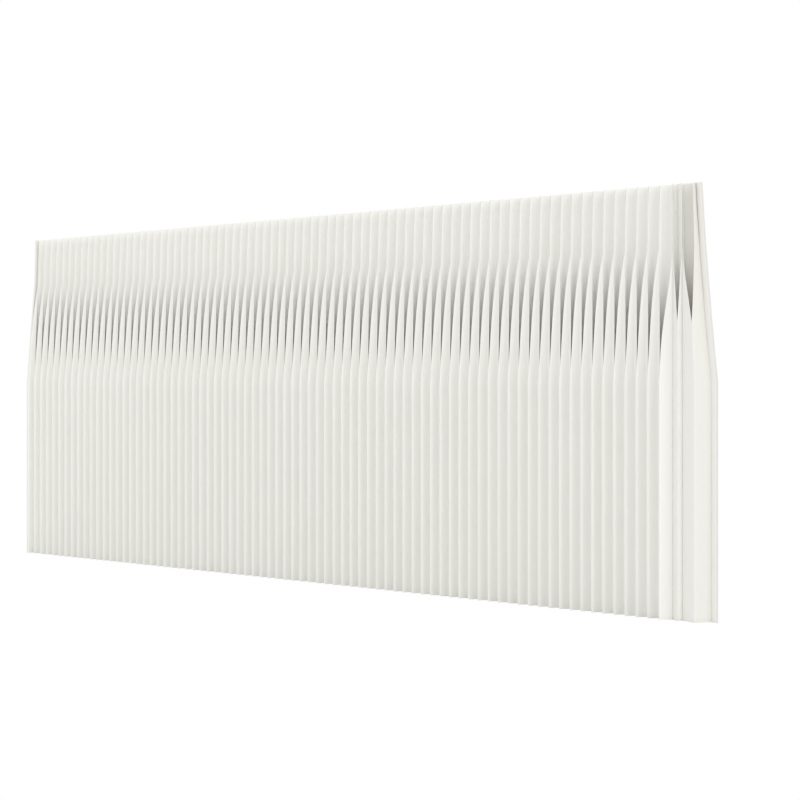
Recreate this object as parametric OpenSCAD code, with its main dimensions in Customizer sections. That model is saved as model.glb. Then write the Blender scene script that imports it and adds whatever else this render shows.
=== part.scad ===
// Free-standing pleated screen: an expandable honeycomb of tall paper sheets.
// X runs along the length, Y from the front ridges to the back, Z up.
// The origin is on the floor, under the middle of the screen's box.

/* [Screen] */
// Height of the sheets
screen_height = 1800; // [1600:10:2400]
// Depth from the front ridges to the back ridges
screen_depth = 430; // [400:5:520]
// Distance between neighbouring front ridges
pitch = 58.9; // [50:0.1:66]
// Half cells from front to back
half_cells = 9; // [7:1:11]

/* [Profile] */
// Height of the knee, where the faces start to lean in
knee_height = 980; // [700:10:1100]
// Height of the shoulder, where the lean eases
shoulder_height = 1540; // [1300:10:1580]
// How far each face has leaned in at the shoulder
shoulder_inset = 48; // [30:1:52]
// How far each face has leaned in at the top
top_inset = 56; // [53:1:90]

/* [Paper] */
// Thickness of the paper
paper = 0.3; // [0.2:0.05:0.6]
// Gap left for the glue between two sheets
glue = 0.1; // [0.05:0.05:0.2]
// Width of the upright strips that are glued
strip_width = 6; // [4:1:12]

/* [Fold] */
// Place of a valley between its two ridges, as a share of the pitch
valley_place = 0.42; // [0.35:0.01:0.6]
// How long a sheet runs straight back before it turns right; 1 is a flat sheet
bow_right = 3.6; // [1:0.1:4]
// How long a sheet runs straight back before it turns left; 1 is a flat sheet
bow_left = 1.1; // [1:0.1:2]

/* [Ends] */
// Thickness of the stiff panel at the left end
panel_thickness = 12; // [6:1:20]
// Thickness of the closing sheet at the right end
end_sheet = 1.2; // [0.8:0.1:3]
// How far the last ridge stands out from the last regular one
fan_reach = 247; // [240:1:260]
// Spacing of the fanned sheets where they are pressed together at the back
fan_back_spacing = 1.5; // [1.2:0.1:3]
// How far the fanned sheets have curled to the side when they start back
fan_curl = 0.3; // [0.25:0.01:0.45]

/* [Hidden] */
// Regular ridges, and how many of them one module takes
ridge_count = 77;
ridges_per_module = 3;
joint_count = floor((ridge_count - 1) / ridges_per_module);
block_count = joint_count + 1;
// Straight pieces that each curved half cell is made of
curve_steps = 4;
step_depth = (screen_depth - strip_width) / half_cells;
half_depth = screen_depth / 2;
// From the middle of a glue line to the middle of the paper beside it
bond = (paper + glue) / 2;
// The same in the fan, where the sheets turn sharply
fan_bond = bond + paper;

// The screen's box at rest, and the first and last regular ridge in it
regular_length = (ridge_count - 1) * pitch;
panel_gap = glue / 2;
full_length = panel_thickness + panel_gap + regular_length + fan_reach;
left_end = -full_length / 2;
first_ridge = left_end + panel_thickness + panel_gap;
last_ridge = first_ridge + regular_length;

// Front points of the fan, from the last regular ridge to the last one: how far out along the
// screen, as a share of the reach, and how far back
FAN_OUT = [0, 0.157, 0.28, 0.34, 0.634, 0.73, 1];
FAN_BACK = [0, 38, 34, 49, 26, 115, 75];
fan_sheets = len(FAN_OUT) - 1;
// Where the fanned sheets' curves turn towards the back, as a share of the depth
fan_turn = 0.5;
// How much the fan's last edges lean to the side for each millimetre that the faces lean in
fan_lean = 1.3;

blue_white = [0.95, 0.95, 0.93];
warm_white = [0.93, 0.92, 0.88];

function two_digits(n) = n < 10 ? str("0", n) : str(n);
function block_name(n) = str("pleat_block_", two_digits(n));
function flex_name(n) = str("flex_pleats_", two_digits(n));
function fan_name(n) = str("fan_pleat_", two_digits(n));

// --- Shapes shared by all sheets -----------------------------------------

function mix(a, b, t) = a + (b - a) * t;

function strip_front(i) = i * step_depth;

// The fold from front to back: [0 where it starts from a ridge line or 1 from a valley line, how
// far on it is towards the other line, depth], with a flat strip at each glue line
FOLD = [
    for (i = [0:half_cells])
        let (here = i % 2, curve = step_depth - strip_width)
        each concat(
            [[here, 0, strip_front(i)], [here, 0, strip_front(i) + strip_width]],
            i == half_cells ? [] : [
                for (m = [1:curve_steps - 1])
                    let (t = m / curve_steps)
                    [here, t, strip_front(i) + strip_width + curve * t]
            ]
        )
];

// Share of the way from the ridge line to the valley line at a point of the fold, on the sheet to
// the right of a ridge, side 1, or to its left, side -1
function share(p, side) =
    let (to_the_right = (p[0] == 0) == (side > 0))
    mix(p[0], 1 - p[0], pow(p[1], to_the_right ? bow_right : bow_left));

// Unit normal of the piece of a line that ends at its point i
function normal_before(line, i) =
    let (run = line[max(i, 1)] - line[max(i, 1) - 1])
    [run[1], -run[0]] / norm(run);

// Mitred normal at a line's point i, one unit from the pieces on both sides of it
function across(line, i) =
    let (
        before = normal_before(line, i),
        after = normal_before(line, min(i + 1, len(line) - 1))
    )
    (before + after) / (1 + before * after);

// Plan of a thin sheet from its middle line
function thick_plan(line, thickness) = concat(
    [for (i = [0:len(line) - 1]) line[i] - across(line, i) * thickness / 2],
    [for (i = [len(line) - 1:-1:0]) line[i] + across(line, i) * thickness / 2]
);

// Side view of a sheet: upright to the knee, then leaning in on both faces
module face_profile() {
    rotate([90, 0, 90])
        linear_extrude(2 * full_length, center = true)
            polygon([
                [-half_depth, 0],
                [half_depth, 0],
                [half_depth, knee_height],
                [half_depth - shoulder_inset, shoulder_height],
                [half_depth - top_inset, screen_height],
                [-half_depth + top_inset, screen_height],
                [-half_depth + shoulder_inset, shoulder_height],
                [-half_depth, knee_height]
            ]);
}

module tall(plan) {
    linear_extrude(screen_height)
        translate([0, -half_depth])
            polygon(plan);
}

// --- Regular pleats ------------------------------------------------------

function ridge_x(k) = first_ridge + k * pitch;

// Middle line of the sheet on one side of ridge k: side 1 is the right, side -1 the left
function sheet_line(k, side) =
    let (run = pitch * (side > 0 ? valley_place : 1 - valley_place))
    [for (p = FOLD) [ridge_x(k) + side * mix(bond, run - bond, share(p, side)), p[2]]];

module sheet(k, side) {
    tall(thick_plan(sheet_line(k, side), paper));
}

// The rigid sheets of module n: right of its first ridge to left of its last
module pleat_block(n) {
    first = (n - 1) * ridges_per_module;
    last = min(first + ridges_per_module - 1, ridge_count - 1);
    color(blue_white)
        intersection() {
            union() {
                for (k = [first:last]) {
                    if (k < last)
                        sheet(k, 1);
                    if (k > first)
                        sheet(k, -1);
                }
            }
            face_profile();
        }
}

// The two sheets of the cell between module n and the next
module flex_pleats(n) {
    last = n * ridges_per_module - 1;
    color(blue_white)
        intersection() {
            union() {
                sheet(last, 1);
                sheet(last + 1, -1);
            }
            face_profile();
        }
}

// --- Fan at the right end ------------------------------------------------

function fan_front(m) = [last_ridge + fan_reach * FAN_OUT[m], FAN_BACK[m]];
function fan_rear(m) = [last_ridge + m * fan_back_spacing, screen_depth];
function fan_bend(m) = [
    mix(fan_rear(m)[0], fan_front(m)[0], fan_curl),
    mix(fan_front(m)[1], screen_depth, fan_turn)
];

// A glue line's place at a depth: ridge lines start at the front, valley lines a step in
function fan_line(m, depth) =
    let (
        start = m % 2 == 0 ? 0 : strip_front(1),
        v = max(0, (depth - start) / (screen_depth - start))
    )
    (1 - v) * (1 - v) * fan_front(m) + 2 * v * (1 - v) * fan_bend(m) + v * v * fan_rear(m);

// Middle line of fan sheet m, between lines m and m + 1, whichever of them is its ridge
function fan_sheet_line(m) =
    let (
        ridge = m % 2 == 0 ? m : m + 1,
        valley = m % 2 == 0 ? m + 1 : m,
        side = valley > ridge ? 1 : -1
    )
    [
        for (p = FOLD)
            mix(fan_line(ridge, p[2]) + [side * fan_bond, 0],
                fan_line(valley, p[2]) - [side * fan_bond, 0],
                share(p, side))
    ];

// End view of the fan: its outer edge leans to the side above the knee
module fan_profile() {
    outer = last_ridge + fan_reach;
    translate([0, full_length, 0])
        rotate([90, 0, 0])
            linear_extrude(2 * full_length)
                polygon([
                    [left_end, 0],
                    [outer, 0],
                    [outer, knee_height],
                    [outer - fan_lean * shoulder_inset, shoulder_height],
                    [outer - fan_lean * top_inset, screen_height],
                    [left_end, screen_height]
                ]);
}

module fan_cut() {
    intersection() {
        children();
        face_profile();
        fan_profile();
    }
}

// Two sheets of the fan, on either side of one valley line
module fan_pleat(n) {
    color(blue_white)
        fan_cut()
            union() {
                tall(thick_plan(fan_sheet_line(2 * n - 2), paper));
                tall(thick_plan(fan_sheet_line(2 * n - 1), paper));
            }
}

// --- Ends ----------------------------------------------------------------

module left_end_panel() {
    color(warm_white)
        intersection() {
            translate([left_end, -half_depth, 0])
                cube([panel_thickness, screen_depth, screen_height]);
            face_profile();
        }
}

module right_end_sheet() {
    shift = fan_bond + end_sheet / 2;
    line = [for (p = FOLD) fan_line(fan_sheets, p[2]) + [shift, 0]];
    color(warm_white)
        fan_cut()
            tall(thick_plan(line, end_sheet));
}

// --- Assembly ------------------------------------------------------------

left_end_panel();
for (n = [1:block_count])
    pleat_block(n);
for (n = [1:joint_count])
    flex_pleats(n);
for (n = [1:fan_sheets / 2])
    fan_pleat(n);
right_end_sheet();
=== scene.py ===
import math
from typing import NamedTuple

import bmesh
import bpy
from bpy.props import FloatProperty, FloatVectorProperty, IntProperty, PointerProperty
from bpy.types import Operator, Panel, PropertyGroup
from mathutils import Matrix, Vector, noise
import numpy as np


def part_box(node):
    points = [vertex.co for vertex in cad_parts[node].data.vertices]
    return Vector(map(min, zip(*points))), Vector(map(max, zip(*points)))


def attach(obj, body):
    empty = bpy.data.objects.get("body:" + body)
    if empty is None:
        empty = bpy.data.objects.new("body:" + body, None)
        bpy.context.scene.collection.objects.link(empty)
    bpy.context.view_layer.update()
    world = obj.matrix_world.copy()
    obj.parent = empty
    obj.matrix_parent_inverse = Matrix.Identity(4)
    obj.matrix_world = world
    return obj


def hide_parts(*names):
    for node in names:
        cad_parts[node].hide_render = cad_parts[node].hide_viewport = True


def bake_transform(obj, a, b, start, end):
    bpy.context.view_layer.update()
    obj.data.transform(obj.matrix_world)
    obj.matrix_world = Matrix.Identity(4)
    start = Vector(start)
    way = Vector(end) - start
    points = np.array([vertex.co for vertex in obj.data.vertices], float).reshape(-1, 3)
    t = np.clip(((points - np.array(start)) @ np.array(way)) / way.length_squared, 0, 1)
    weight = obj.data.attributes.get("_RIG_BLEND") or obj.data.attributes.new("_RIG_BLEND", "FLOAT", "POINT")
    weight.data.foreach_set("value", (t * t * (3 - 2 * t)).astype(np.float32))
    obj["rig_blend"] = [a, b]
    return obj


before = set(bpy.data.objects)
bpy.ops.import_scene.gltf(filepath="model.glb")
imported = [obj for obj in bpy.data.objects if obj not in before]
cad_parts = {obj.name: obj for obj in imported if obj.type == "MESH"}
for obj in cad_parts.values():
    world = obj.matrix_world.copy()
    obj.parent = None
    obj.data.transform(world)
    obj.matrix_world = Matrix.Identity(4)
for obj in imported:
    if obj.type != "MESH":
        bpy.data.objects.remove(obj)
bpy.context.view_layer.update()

bl_info = {
    "name": "Pleated Paper Screen",
    "version": (1, 0, 0),
    "blender": (4, 5, 0),
    "location": "3D View > Sidebar > Screen",
    "description": "Hangs folded paper sheets on the screen's frame and sets up a studio",
    "category": "Object",
}

PANEL_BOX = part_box("left_end_panel")
FRONT, BACK = PANEL_BOX[0].y, PANEL_BOX[1].y
TOP = PANEL_BOX[1].z

# Sheets are counted from the left. Sheet i stands between glue lines i and i + 1. Even lines are
# front ridges and odd ones are valleys.
MODULES = 25
SHEETS_A_MODULE = 6
# The fan's first and last line, and its widest sheet, which is painted darker than the others: painted shade
# on the sheet that faces the light most
FAN_START = 152
LAST_LINE = 158
SHEET_WITH_PAINTED_SHADE = 156

# Faces of a sheet from the floor to the knee, from there to the shoulder, and from there to the top
ROW_COUNTS = (7, 6, 3)
# How much steeper than a straight one the fan's lean starts, and how much less steep it ends
LEAN_EASE = 0.27
# The line from which the back sweeps to the left, up to the fan
SWEEP_START = 112
# How many lines curl at the left end, and the height where the curl starts
CURLED_LINES = 30
CURL_START = 1.2
# Cuts across the end panel's curl
CURL_CUTS = 6
# Gap between the last paper sheet and the closing card, and the roundness of the panel's rims
CARD_GAP = 0.0002
RIM_RADIUS = 0.0012
# Edges of the panel that turn by more than this, in radians, are rims
RIM_ANGLE = 0.8

# A glue line's wander: how far apart in the noise two lines are and where they start, and how fast
# it changes with depth and with height
WANDER_APART, WANDER_START = 1.7, 0.3
WANDER_DEPTH, WANDER_HEIGHT = 5.0, 1.6

# How far the painted light beside a glue strip reaches, as a share of the half cell: a paler band where the
# flank faces the light
PAINTED_LIGHT_REACH = 0.4
# How strong that painted light is in the fan, where the strips are drawn out flat
FAN_PAINTED_LIGHT = 0.4
# Step of the tone from one sheet to the next, round and round from 0 to 1
TONE_STEP = 0.618
# What each point of a sheet carries for the paper's shader: the painted light beside the glue strips, the
# sheet's tone, and the painted shade on the fan's widest sheet
LAYERS = ("strip", "part", "fan_painted_shade")

# Distances below which two points are the same, for the fold's columns and for cuts
SAME_COLUMN, SAME_POINT = 1e-6, 1e-7

# The photograph's camera: its place from the foot of the last regular ridge, its turn to the left,
# its lens and sensor in millimetres, and the shift of its frame
CAMERA_RIGHT, CAMERA_FORWARD, CAMERA_HEIGHT = 4.7452, 6.4034, 0.9771
CAMERA_TURN = 0.77180
CAMERA_LENS, CAMERA_SENSOR = 86.204, 36.0
CAMERA_SHIFT = (-0.000625, -0.02132)
CAMERA_REACH = 200
# Where the wide key light shines, and how wide it is in degrees
KEY_DIRECTION = (-0.87, 0.26, -0.42)
KEY_ANGLE = 40
# Size of the floor, and how much of what is seen of it is plain white, not its own shaded colour
FLOOR_SIZE = 30
FLOOR_WHITE = 0.97
WHITE = (1, 1, 1, 1)

# Sockets of a Mix node that mixes colours: factor, first colour, second colour and result
MIX_FACTOR, MIX_FIRST, MIX_SECOND, MIX_RESULT = 0, 6, 7, 2


class FanLine(NamedTuple):
    """A glue line of the fan."""
    out: float  # how far it stands out from the last regular ridge
    front: float  # how far back its front edge is
    sweep: float  # how fast it sweeps in towards the bunched back
    lean: float  # how much of the lean it takes
    fade: float  # how fast that fades with depth
    strip: float  # how much of its front strip is glued


class FanPanel(NamedTuple):
    """The first half cell of a fan sheet."""
    flat: float  # from the regular curve at 0 to straight at 1
    bulge: float  # how far it bulges forward


class Column(NamedTuple):
    """A column of a sheet's grid."""
    start: int  # 0 where its half cell starts from a ridge line and 1 from a valley line
    on: float  # how far on it is towards the other line
    depth: float


FAN_LINES = (
    FanLine(0.0, 0.0, 1.0, 0.0, 1.0, 0.012),
    FanLine(0.0370, 0.0470, 4.5, 0.0, 1.0, 0.012),
    FanLine(0.0785, 0.0210, 3.1, 0.0, 1.0, 0.003),
    FanLine(0.0830, 0.0480, 3.3, 0.0, 1.0, 0.012),
    FanLine(0.1618, 0.0205, 2.5, 0.35, 1.0, 0.003),
    FanLine(0.2000, 0.0880, 3.0, 0.98, 3.0, 0.012),
    FanLine(0.2410, 0.0754, 2.0, 1.0, 1.5, 0.012),
)
FAN_PANELS = (
    FanPanel(0.3, 0.0),
    FanPanel(0.9, 0.0),
    FanPanel(0.9, 0.0),
    FanPanel(0.8, 0.0),
    FanPanel(1.0, 0.003),
    FanPanel(0.9, 0.003),
)


def mix(a, b, t):
    return a + (b - a) * t


def smooth(t):
    """Eases from 0 to 1."""
    return (1 - math.cos(math.pi * t)) / 2


def clamp(t):
    return min(1.0, max(0.0, t))


# --- Settings ------------------------------------------------------------------


def length(name, description, default):
    return FloatProperty(name=name, description=description, default=default,
                         unit="LENGTH", precision=4)


def ratio(name, description, default):
    return FloatProperty(name=name, description=description, default=default)


def count(name, description, default):
    return IntProperty(name=name, description=description, default=default)


def colour(name, description, default):
    return FloatVectorProperty(name=name, description=description, default=default, size=3,
                               min=0, max=1, subtype="COLOR")


class SheetSizes(PropertyGroup):
    """Sizes of the folded sheets."""
    pitch: length("Pitch", "Distance between neighbouring front ridges", 0.0589)
    paper: length("Paper", "Thickness of the paper", 0.0003)
    glue: length("Glue", "Gap between two glued sheets", 0.0001)
    strip: length("Glue strip", "Width of the upright strips that are glued", 0.006)
    knee: length("Knee", "Height where the faces start to lean in", 0.98)
    shoulder: length("Shoulder", "Height where the lean eases", 1.54)
    shoulder_inset: length(
        "Shoulder inset", "How far each face has leaned in at the shoulder", 0.048)
    top_inset: length("Top inset", "How far each face has leaned in at the top", 0.056)
    waviness: length("Waviness", "How far a glue line wanders from its place", 0.0007)
    valley_place: ratio(
        "Valley place", "Place of a valley between its two ridges, as a share of the pitch", 0.42)
    bow_right: ratio(
        "Bow to the right",
        "How long a sheet runs straight back before it turns right; 1 is a flat sheet", 3.6)
    bow_left: ratio(
        "Bow to the left",
        "How long a sheet runs straight back before it turns left; 1 is a flat sheet", 1.1)
    half_cells: count("Half cells", "Half cells from front to back", 9)
    curve_steps: count("Curve steps", "Faces along each curved half cell", 7)


class EndSizes(PropertyGroup):
    """Sizes of the two ends."""
    lean: length("Lean", "How far the fan's last edges lean to the left at the top", 0.076)
    sweep_foot: length(
        "Sweep at the foot", "How far the back of the fan has swept to the left at the foot", 0.018)
    sweep_top: length(
        "Sweep at the top", "How far the back of the fan has swept to the left at the top", 0.070)
    crowding: ratio(
        "Crowding", "How far the strips on the fan's ridge lines crowd to the front; 1 is even",
        1.25)
    curl: length(
        "Curl", "How far the left end's front edge curls to the right at the top", 0.023)
    curl_depth: length("Curl depth", "How deep that curl goes", 0.09)
    rear_gap: length(
        "Rear gap", "Spacing of the fan's sheets where they are pressed together", 0.0015)
    card: length("Card", "Thickness of the closing sheet", 0.0012)


class Finishes(PropertyGroup):
    """Colours of the paper and the card."""
    paper: colour("Paper", "Colour of the paper", (0.918, 0.914, 0.880))
    paper_shade: colour(
        "Paper shade", "Colour of the paper's cloudy patches", (0.900, 0.895, 0.854))
    # Painted light: the glue strips and the flanks beside them, which face the light, are painted paler
    painted_light_paper: colour(
        "Glued paper", "Colour where two sheets are glued and look denser", (0.965, 0.963, 0.945))
    # Painted shade: the fan's widest sheet is painted darker, as it faces the light more than the others
    painted_shade_paper: colour(
        "Cream paper", "Colour of the fan's widest sheet", (0.82, 0.81, 0.762))
    dust: colour("Dust", "Colour of the dust at the foot", (0.72, 0.70, 0.64))
    flecks: colour("Flecks", "Colour of the paper's pale flecks", (0.96, 0.96, 0.94))
    card: colour("Card", "Colour of the stiff ends", (0.90, 0.895, 0.865))
    card_shade: colour("Card shade", "Colour of the card's fibres", (0.85, 0.845, 0.81))


class StudioSettings(PropertyGroup):
    """Light and floor."""
    sky: ratio("Sky", "Strength of the even light from all round", 0.89)
    key: ratio("Key", "Strength of the wide soft light from the right", 0.55)
    floor: colour("Floor", "Colour of the floor", (0.94, 0.94, 0.935))


# --- Shape of the sheets ---------------------------------------------------------


class Folding:
    """Where every glue line stands, and where each sheet runs between its two lines."""

    def __init__(self, scene):
        self.sheets, self.ends = scene.screen_sheets, scene.screen_ends
        s = self.sheets
        self.depth = BACK - FRONT
        self.step = (self.depth - s.strip) / s.half_cells
        self.first_ridge = PANEL_BOX[1].x + s.glue / 2
        self.last_ridge = self.line_x(FAN_START)
        self.bond = (s.paper + s.glue) / 2
        self.columns = self.make_columns()
        self.rows = self.make_rows()

    def make_columns(self):
        """The columns from front to back: two for each glue strip, and some for each curve."""
        s, columns = self.sheets, []
        for i in range(s.half_cells + 1):
            line, start = i % 2, i * self.step
            columns += [Column(line, 0.0, start), Column(line, 0.0, start + s.strip)]
            if i < s.half_cells:
                for m in range(1, s.curve_steps):
                    on = m / s.curve_steps
                    columns.append(Column(line, on, start + mix(s.strip, self.step, on)))
        return columns

    def make_rows(self):
        """Heights of the rows, with one at each change of the side view."""
        heights = (0.0, self.sheets.knee, self.sheets.shoulder, TOP)
        rows = [mix(low, high, i / n)
                for low, high, n in zip(heights, heights[1:], ROW_COUNTS) for i in range(n)]
        return rows + [TOP]

    def line_x(self, line):
        """Where a regular line stands along the screen."""
        s = self.sheets
        return self.first_ridge + (line // 2 + line % 2 * s.valley_place) * s.pitch

    def place(self, line, depth, z):
        """Where a line is, as x and the depth behind the front."""
        if line <= FAN_START:
            x, back = self.line_x(line), depth
        else:
            x, back = self.fan_place(line - FAN_START, depth, z)
        x += self.drift(line, depth, z) + self.curled(line, back, z) - self.swept(line, back, z)
        return Vector((x, back, 0))

    def fan_place(self, m, depth, z):
        """The same for line m of the fan: it starts spread out and ends pressed together."""
        line, ends = FAN_LINES[m], self.ends
        valley = m % 2 == 1
        start = self.step if valley else 0.0
        on = clamp((depth - start) / (self.depth - start))
        rear = m * ends.rear_gap
        x = self.last_ridge + rear + (line.out - rear) * (1 - on) ** line.sweep
        x -= ends.lean * line.lean * self.rise(z) * (1 - on) ** line.fade
        return x, mix(line.front, self.depth, on if valley else on ** ends.crowding)

    def drift(self, line, depth, z):
        """A slow wander of each line, which the sheets on both sides of it share."""
        spot = Vector((line * WANDER_APART + WANDER_START, depth * WANDER_DEPTH,
                       z * WANDER_HEIGHT + line))
        return self.sheets.waviness * noise.noise(spot)

    def swept(self, line, back, z):
        """How far the back near the fan has swept to the left."""
        near = clamp((line - SWEEP_START) / (FAN_START - SWEEP_START))
        sweep = mix(self.ends.sweep_foot, self.ends.sweep_top, self.rise(z))
        return sweep * (near * back / self.depth) ** 2

    def curled(self, line, back, z):
        """How far the front edges near the left end curl to the right."""
        near = clamp(1 - line / CURLED_LINES) * clamp(1 - back / self.ends.curl_depth) ** 2
        return self.ends.curl * near * smooth(clamp((z - CURL_START) / (TOP - CURL_START)))

    def rise(self, z):
        """0 up to the knee and 1 at the top, easing a little on the way."""
        t = clamp((z - self.sheets.knee) / (TOP - self.sheets.knee))
        return (1 + LEAN_EASE) * t - LEAN_EASE * t * t

    def sheet_point(self, i, column, z):
        """A point of sheet i, between its ridge line and its valley line."""
        ridge, valley = (i, i + 1) if i % 2 == 0 else (i + 1, i)
        fanned = i >= FAN_START
        bond = self.bond + (self.sheets.paper if fanned else 0)
        offset = Vector(((valley - ridge) * bond, 0, 0))
        if fanned and column.depth < self.step - SAME_COLUMN:
            point = self.fan_panel_point(i, ridge, valley, offset, column, z)
        else:
            to_the_right = column.start == i % 2
            bow = self.sheets.bow_right if to_the_right else self.sheets.bow_left
            point = mix(self.place(ridge, column.depth, z) + offset,
                        self.place(valley, column.depth, z) - offset,
                        mix(column.start, 1 - column.start, column.on ** bow))
        return Vector((point.x, FRONT + point.y, z))

    def fan_panel_point(self, i, ridge, valley, offset, column, z):
        """A point of a fan sheet's first half cell, from the front strip to the valley line."""
        strip = FAN_LINES[ridge - FAN_START].strip
        if column.on == 0:
            return self.place(ridge, column.depth / self.sheets.strip * strip, z) + offset
        panel = FAN_PANELS[i - FAN_START]
        start = self.place(ridge, strip, z) + offset
        run = self.place(valley, self.step, z) - offset - start
        sideways = run.x * mix(smooth(column.on), column.on, panel.flat)
        forward = Vector((abs(run.y), -abs(run.x), 0)).normalized()
        return (start + Vector((sideways, run.y * column.on, 0))
                + forward * panel.bulge * math.sin(math.pi * column.on))

    def card_point(self, column, z):
        """A point of the closing card, which follows the last ridge line."""
        shift = self.bond + self.sheets.paper + self.ends.card / 2 + CARD_GAP
        point = self.place(LAST_LINE, column.depth, z) + Vector((shift, 0, 0))
        return Vector((point.x, FRONT + point.y, z))

    def face_inset(self, z):
        """How far the front and the back have leaned in at a height."""
        s = self.sheets
        if z <= s.knee:
            return 0.0
        if z <= s.shoulder:
            return s.shoulder_inset * (z - s.knee) / (s.shoulder - s.knee)
        return mix(s.shoulder_inset, s.top_inset, (z - s.shoulder) / (TOP - s.shoulder))


def new_mesh():
    bm = bmesh.new()
    for layer in LAYERS:
        bm.verts.layers.float.new(layer)
    return bm


def add_sheet(bm, folding, point_at, pale, part, fan_painted_shade):
    """Adds one folded sheet as a grid: columns run from front to back and rows go up."""
    columns, rows = folding.columns, folding.rows
    across, up = len(columns) - 1, len(rows) - 1
    grid = bmesh.ops.create_grid(bm, x_segments=across, y_segments=up, size=0.5)
    layers = [bm.verts.layers.float[layer] for layer in LAYERS]
    for v in grid["verts"]:
        column = columns[round((v.co.x + 0.5) * across)]
        v.co = point_at(column, rows[round((v.co.y + 0.5) * up)])
        # Painted light: paler at each glue line, fading into the flank
        strip = pale * clamp(1 - column.on / PAINTED_LIGHT_REACH)
        for layer, value in zip(layers, (strip, part, fan_painted_shade)):
            v[layer] = value


def trim_faces(bm, folding):
    """Cuts the front and the back in to the screen's side view."""
    sizes = folding.sheets
    for low, high in ((sizes.knee, sizes.shoulder), (sizes.shoulder, TOP)):
        inset_low, inset_high = folding.face_inset(low), folding.face_inset(high)
        for edge, inwards in ((FRONT, 1), (BACK, -1)):
            faces = [f for f in bm.faces if low < f.calc_center_median().z < high]
            around = (part for f in faces for part in (*f.verts, *f.edges))
            bmesh.ops.bisect_plane(
                bm, geom=[*faces, *dict.fromkeys(around)], dist=SAME_POINT,
                plane_co=(0, edge + inwards * inset_low, low),
                plane_no=(0, -inwards * (high - low), inset_high - inset_low),
            )
    middle, half = (FRONT + BACK) / 2, (BACK - FRONT) / 2
    outside = []
    for f in bm.faces:
        centre = f.calc_center_median()
        if abs(centre.y - middle) > half - folding.face_inset(centre.z):
            outside.append(f)
    bmesh.ops.delete(bm, geom=outside, context="FACES")


def give_thickness(bm, thickness):
    """Turns each sheet into a thin shell about the surface that it was, and keeps it between the
    front and the back."""
    bmesh.ops.recalc_face_normals(bm, faces=bm.faces)
    bm.normal_update()
    for v in bm.verts:
        v.co += v.normal * thickness / 2
    bmesh.ops.solidify(bm, geom=bm.faces[:], thickness=thickness)
    for v in bm.verts:
        v.co.y = min(BACK, max(FRONT, v.co.y))
    bm.normal_update()


def soften(bm, degrees):
    """Smooths the mesh, apart from its edges that turn by more than an angle."""
    for f in bm.faces:
        f.smooth = True
    for e in bm.edges:
        e.smooth = len(e.link_faces) != 2 or e.calc_face_angle(0) < math.radians(degrees)


def cut_across(bm, place, normal):
    """Cuts a whole mesh at a plane, and keeps both sides."""
    bmesh.ops.bisect_plane(bm, geom=bm.verts[:] + bm.edges[:] + bm.faces[:], dist=SAME_POINT,
                           plane_co=place, plane_no=normal)


# --- Pieces ------------------------------------------------------------------------


def add_object(name, data):
    obj = bpy.data.objects.new(name, data)
    bpy.context.scene.collection.objects.link(obj)
    return obj


def add_mesh(bm, name, material):
    mesh = bpy.data.meshes.new(name)
    bm.to_mesh(mesh)
    bm.free()
    mesh.materials.append(material)
    return add_object(name, mesh)


def finish_named(name):
    """A material that the finishes' operator has made."""
    found = bpy.data.materials.get(name)
    if found is None:
        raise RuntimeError(f"the finish {name} isn't made yet")
    return found


def finish_piece(bm, name, slot, *nodes):
    obj = add_mesh(bm, name, finish_named(f"screen_{slot}"))
    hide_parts(*nodes)
    return obj


def paper_piece(name, folding, numbers, *nodes):
    """One piece of several folded sheets, each a shell of its own."""
    bm = new_mesh()
    for i in numbers:
        # Each sheet gets the strength of its painted light beside the glue strips, and the fan's widest
        # sheet its painted shade
        add_sheet(bm, folding, lambda column, z, i=i: folding.sheet_point(i, column, z),
                  pale=1.0 if i < FAN_START else FAN_PAINTED_LIGHT,
                  part=i * TONE_STEP % 1, fan_painted_shade=float(i == SHEET_WITH_PAINTED_SHADE))
    trim_faces(bm, folding)
    give_thickness(bm, folding.sheets.paper)
    soften(bm, 40)
    return finish_piece(bm, name, "paper", *nodes)


def closing_card(folding):
    """The card sheet that closes the right end."""
    bm = new_mesh()
    add_sheet(bm, folding, folding.card_point, pale=0.0, part=0.5, fan_painted_shade=0.0)
    trim_faces(bm, folding)
    give_thickness(bm, folding.ends.card)
    soften(bm, 40)
    return finish_piece(bm, "closing_card", "card", "right_end_sheet")


def wall_panel(folding):
    """The stiff panel at the left end: a board with the screen's side view, whose front edge
    curls with the sheets beside it."""
    low, high = PANEL_BOX
    bm = new_mesh()
    bmesh.ops.create_cube(bm, size=1)
    bmesh.ops.scale(bm, verts=bm.verts, vec=high - low)
    bmesh.ops.translate(bm, verts=bm.verts, vec=(low + high) / 2)
    for z in folding.rows[1:-1]:
        cut_across(bm, (0, 0, z), (0, 0, 1))
    for i in range(1, CURL_CUTS + 1):
        cut_across(bm, (0, FRONT + folding.ends.curl_depth * i / CURL_CUTS, 0), (0, 1, 0))
    for v in bm.verts:
        v.co.y *= 1 - folding.face_inset(v.co.z) / BACK
        v.co.x += folding.curled(0, v.co.y - FRONT, v.co.z)
    rims = [e for e in bm.edges if len(e.link_faces) == 2 and e.calc_face_angle(0) > RIM_ANGLE]
    bmesh.ops.bevel(bm, geom=rims, offset=RIM_RADIUS, affect="EDGES", segments=2, profile=0.5,
                    material=-1)
    soften(bm, 35)
    return finish_piece(bm, "wall_panel", "card", "left_end_panel")


# --- Finishes ---------------------------------------------------------------------


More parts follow.
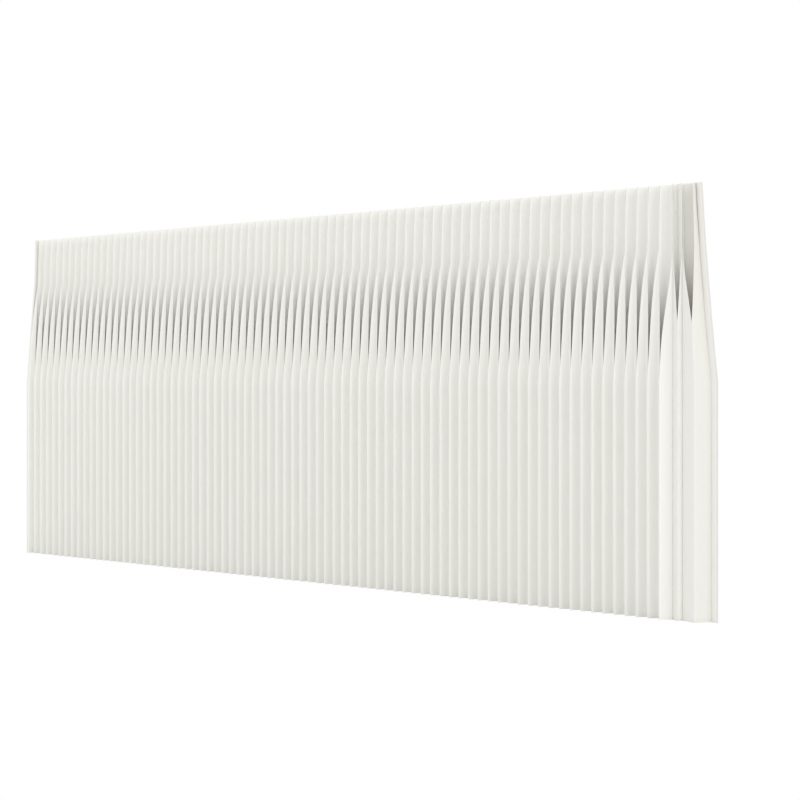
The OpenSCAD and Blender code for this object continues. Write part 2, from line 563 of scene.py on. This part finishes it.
class Shade:
    """A number or colour in the shader: Python's operators on a number add Math nodes."""

    def __init__(self, finish, socket):
        self.finish, self.socket = finish, socket

    def _with(self, operation, first, second):
        return self.finish.node("ShaderNodeMath", {"operation": operation}, [first, second])

    def __add__(self, other): return self._with("ADD", self, other)
    def __radd__(self, other): return self._with("ADD", other, self)
    def __sub__(self, other): return self._with("SUBTRACT", self, other)
    def __rsub__(self, other): return self._with("SUBTRACT", other, self)
    def __mul__(self, other): return self._with("MULTIPLY", self, other)
    def __rmul__(self, other): return self._with("MULTIPLY", other, self)

    def between(self, low, high):
        """0 below low, 1 above high and smooth from one to the other."""
        return self.finish.node("ShaderNodeMapRange", {"interpolation_type": "SMOOTHSTEP"},
                                {"Value": self, "From Min": low, "From Max": high})


class Finish:
    """The node tree of a material or a world, and the one method that adds a node to it."""

    def __init__(self, owner):
        self.owner = owner
        owner.use_nodes = True
        self.tree = owner.node_tree
        self.tree.nodes.clear()

    def node(self, kind, settings=None, inputs=None, output=0):
        """Adds a node. Its inputs are given by name or in order, as values or as links."""
        made = self.tree.nodes.new(kind)
        for key, value in (settings or {}).items():
            setattr(made, key, value)
        pairs = inputs.items() if isinstance(inputs, dict) else enumerate(inputs or [])
        for key, value in pairs:
            if isinstance(value, Shade):
                self.tree.links.new(value.socket, made.inputs[key])
            else:
                made.inputs[key].default_value = value
        return Shade(self, made.outputs[output]) if len(made.outputs) else made

    def position(self):
        return self.node("ShaderNodeTexCoord", output="Object")

    def attribute(self, name):
        return self.node("ShaderNodeAttribute", {"attribute_name": name}, output="Fac")

    def cloud(self, scale, stretch=(1, 1, 1), detail=2.0, roughness=0.5):
        """Soft noise: a stretch below 1 draws it out along that axis."""
        place = self.node("ShaderNodeMapping", {}, {"Vector": self.position(), "Scale": stretch})
        return self.node("ShaderNodeTexNoise", {}, {
            "Vector": place, "Scale": scale, "Detail": detail, "Roughness": roughness})

    def blend(self, mask, first, second):
        """Goes from the first colour to the second as the mask goes from 0 to 1."""
        first, second = (c if isinstance(c, Shade) else (*c, 1) for c in (first, second))
        return self.node("ShaderNodeMix", {"data_type": "RGBA"},
                         {MIX_FACTOR: mask, MIX_FIRST: first, MIX_SECOND: second},
                         output=MIX_RESULT)

    def seen(self):
        """1 for camera, glossy and transmission rays, and 0 for all others."""
        total = 0
        for ray in ("Is Camera Ray", "Is Glossy Ray", "Is Transmission Ray"):
            total = total + self.node("ShaderNodeLightPath", output=ray)
        return self.node("ShaderNodeMath", {"operation": "MINIMUM"}, [total, 1.0])

    def surface(self, base, roughness, height, relief, specular):
        """The finished surface: relief is the depth in metres of the bumps that height shapes."""
        bump = self.node("ShaderNodeBump", {},
                         {"Strength": 1.0, "Distance": relief, "Height": height})
        shader = self.node("ShaderNodeBsdfPrincipled", {}, {
            "Base Color": base, "Roughness": roughness, "Normal": bump,
            "Specular IOR Level": specular})
        self.node("ShaderNodeOutputMaterial", {}, {"Surface": shader})


def make_paper(colours):
    """Matt uncoated paper: fine fibres and pale flecks, cloudy patches, a tone for each sheet, painted light
    along each glue strip and the flank beside it, painted shade on the fan's widest sheet, and a foot that
    has picked up a little dust."""
    f = Finish(bpy.data.materials.new("screen_paper"))
    fibres = f.cloud(420, stretch=(1, 1, 0.35), detail=5, roughness=0.65)
    flecks = f.cloud(1500, detail=3)
    clouds = f.cloud(2.3, stretch=(1, 1, 0.5), detail=3)
    # Painted light along the glue strips and the flanks beside them
    painted_glue_light = f.attribute("strip").between(0.1, 0.8)
    height = f.node("ShaderNodeSeparateXYZ", {}, [f.position()], output="Z")
    dust = 1 - height.between(0.0, 0.035)
    shade = clouds * 0.7 + fibres * 0.5 + f.attribute("part") * 0.15 - 0.25
    base = f.blend(shade, colours.paper, colours.paper_shade)
    # Painted shade on the fan's widest sheet
    base = f.blend(f.attribute("fan_painted_shade") * 0.8, base, colours.painted_shade_paper)
    # Painted light along the glue strips
    base = f.blend(painted_glue_light * 0.9, base, colours.painted_light_paper)
    base = f.blend(dust * 0.10, base, colours.dust)
    base = f.blend(flecks.between(0.66, 0.8) * 0.10, base, colours.flecks)
    grain = fibres * 0.7 + flecks * 0.3 + clouds * 0.6
    f.surface(base, 0.72 + fibres * 0.2, grain, relief=0.00012, specular=0.25)


def make_card(colours):
    """Grey-white card board with longer fibres and rubbed faces."""
    f = Finish(bpy.data.materials.new("screen_card"))
    fibres = f.cloud(160, stretch=(1, 1, 0.12), detail=6, roughness=0.7)
    rubbed = f.cloud(9, detail=4).between(0.35, 0.75)
    base = f.blend(fibres, colours.card, colours.card_shade)
    base = f.blend(rubbed * 0.25, base, colours.card)
    f.surface(base, 0.68 + rubbed * 0.15, fibres + rubbed * 0.3, relief=0.0002, specular=0.3)


# --- Studio ------------------------------------------------------------------------


def make_floor(settings):
    """A pale floor that is seen as white, apart from a trace of the screen's shadow."""
    bm = bmesh.new()
    bmesh.ops.create_grid(bm, x_segments=1, y_segments=1, size=FLOOR_SIZE)
    f = Finish(bpy.data.materials.new("studio_floor"))
    pale = f.node("ShaderNodeBsdfDiffuse", {}, {"Color": (*settings.floor, 1)})
    white = f.node("ShaderNodeEmission", {}, {"Color": WHITE, "Strength": 1.0})
    surface = f.node("ShaderNodeMixShader", {}, [f.seen() * FLOOR_WHITE, pale, white])
    f.node("ShaderNodeOutputMaterial", {}, {"Surface": surface})
    floor = add_mesh(bm, "floor", f.owner)


def make_sky(scene, settings):
    """Even light from all round, in front of a white backdrop."""
    scene.world = bpy.data.worlds.new("studio")
    f = Finish(scene.world)
    light = f.node("ShaderNodeBackground", {}, {"Color": WHITE, "Strength": settings.sky})
    backdrop = f.node("ShaderNodeBackground", {}, {"Color": WHITE, "Strength": 1.0})
    surface = f.node("ShaderNodeMixShader", {}, [f.seen(), light, backdrop])
    f.node("ShaderNodeOutputWorld", {}, {"Surface": surface})


def make_key(settings):
    """A wide sun from the right, which leaves the wedges between the pleats in soft shade."""
    lamp = bpy.data.lights.new("key", "SUN")
    lamp.energy, lamp.angle = settings.key, math.radians(KEY_ANGLE)
    key = add_object("key", lamp)
    key.rotation_euler = Vector(KEY_DIRECTION).to_track_quat("-Z", "Y").to_euler()


def make_camera(scene):
    """The photograph's view: level, off the right end, with the frame shifted down a little."""
    data = bpy.data.cameras.new("camera")
    data.lens, data.sensor_width = CAMERA_LENS, CAMERA_SENSOR
    data.shift_x, data.shift_y = CAMERA_SHIFT
    data.clip_end = CAMERA_REACH
    camera = add_object("camera", data)
    camera.location = (Folding(scene).last_ridge + CAMERA_RIGHT, FRONT - CAMERA_FORWARD,
                       CAMERA_HEIGHT)
    camera.rotation_euler = (math.pi / 2, 0, CAMERA_TURN)
    scene.camera = camera


# --- Operators ---------------------------------------------------------------------


class SCREEN_OT_finishes(Operator):
    """Makes the paper and card materials"""
    bl_idname = "screen.finishes"
    bl_label = "Paper and card"

    def execute(self, context):
        make_paper(context.scene.screen_finishes)
        make_card(context.scene.screen_finishes)
        return {"FINISHED"}


class SCREEN_OT_pleats(Operator):
    """Makes the regular pleats: in each module five sheets that draw out, and one that bends"""
    bl_idname = "screen.pleats"
    bl_label = "Regular pleats"

    def execute(self, context):
        folding = Folding(context.scene)
        for n in range(1, MODULES + 1):
            first = SHEETS_A_MODULE * (n - 1)
            last = first + SHEETS_A_MODULE - 1
            start, turn, end = (
                Vector((folding.line_x(i), 0, 0)) for i in (first, last, last + 1))
            pleats = paper_piece(
                f"pleats_{n:02d}", folding, range(first, last), f"pleat_block_{n:02d}")
            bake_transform(pleats, f"block_{n:02d}", f"link_{n:02d}", start=start, end=turn)
            hinge = paper_piece(
                f"hinge_sheet_{n:02d}", folding, [last], f"flex_pleats_{n:02d}")
            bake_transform(hinge, f"link_{n:02d}", f"block_{n + 1:02d}", start=turn, end=end)
        ends = paper_piece("last_pleats", folding, (FAN_START - 2, FAN_START - 1),
                           f"pleat_block_{MODULES + 1:02d}")
        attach(ends, f"block_{MODULES + 1:02d}")
        return {"FINISHED"}


class SCREEN_OT_fan(Operator):
    """Makes the sheets that fan out at the right end, two to a piece"""
    bl_idname = "screen.fan"
    bl_label = "Fanned end"

    def execute(self, context):
        folding = Folding(context.scene)
        for n, first in enumerate(range(FAN_START, LAST_LINE, 2), 1):
            piece = paper_piece(
                f"fan_sheets_{n:02d}", folding, (first, first + 1), f"fan_pleat_{n:02d}")
            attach(piece, f"block_{MODULES + 1:02d}")
        return {"FINISHED"}


class SCREEN_OT_ends(Operator):
    """Makes the stiff panel at the left end and the card sheet that closes the right end"""
    bl_idname = "screen.ends"
    bl_label = "Card ends"

    def execute(self, context):
        folding = Folding(context.scene)
        closing = closing_card(folding)
        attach(closing, f"block_{MODULES + 1:02d}")
        panel = wall_panel(folding)
        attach(panel, "block_01")
        return {"FINISHED"}


class SCREEN_OT_studio(Operator):
    """Makes the floor, the soft light and the camera"""
    bl_idname = "screen.studio"
    bl_label = "Studio"

    def execute(self, context):
        scene, settings = context.scene, context.scene.screen_studio
        make_floor(settings)
        make_sky(scene, settings)
        make_key(settings)
        make_camera(scene)
        scene.view_settings.view_transform = "Standard"
        return {"FINISHED"}


class SCREEN_PT_panel(Panel):
    """Lists the screen's settings and its making steps"""
    bl_label = "Pleated screen"
    bl_idname = "SCREEN_PT_panel"
    bl_space_type = "VIEW_3D"
    bl_region_type = "UI"
    bl_category = "Screen"

    def draw(self, context):
        for name, kind in GROUPS.items():
            box = self.layout.box()
            box.label(text=name.removeprefix("screen_").capitalize())
            for key in kind.__annotations__:
                box.prop(getattr(context.scene, name), key)
        for step in STEPS:
            self.layout.operator(step.bl_idname)


STEPS = (SCREEN_OT_finishes, SCREEN_OT_pleats, SCREEN_OT_fan, SCREEN_OT_ends, SCREEN_OT_studio)
GROUPS = {"screen_sheets": SheetSizes, "screen_ends": EndSizes, "screen_finishes": Finishes,
          "screen_studio": StudioSettings}


def register():
    for cls in (*GROUPS.values(), *STEPS, SCREEN_PT_panel):
        bpy.utils.register_class(cls)
    for name, group in GROUPS.items():
        setattr(bpy.types.Scene, name, PointerProperty(type=group))


def unregister():
    for name in GROUPS:
        delattr(bpy.types.Scene, name)
    for cls in (SCREEN_PT_panel, *reversed(STEPS), *reversed(GROUPS.values())):
        bpy.utils.unregister_class(cls)


def main():
    register()
    for step in STEPS:
        group, name = step.bl_idname.split(".")
        getattr(getattr(bpy.ops, group), name)()
    bpy.context.view_layer.update()


if __name__ == "__main__":
    main()
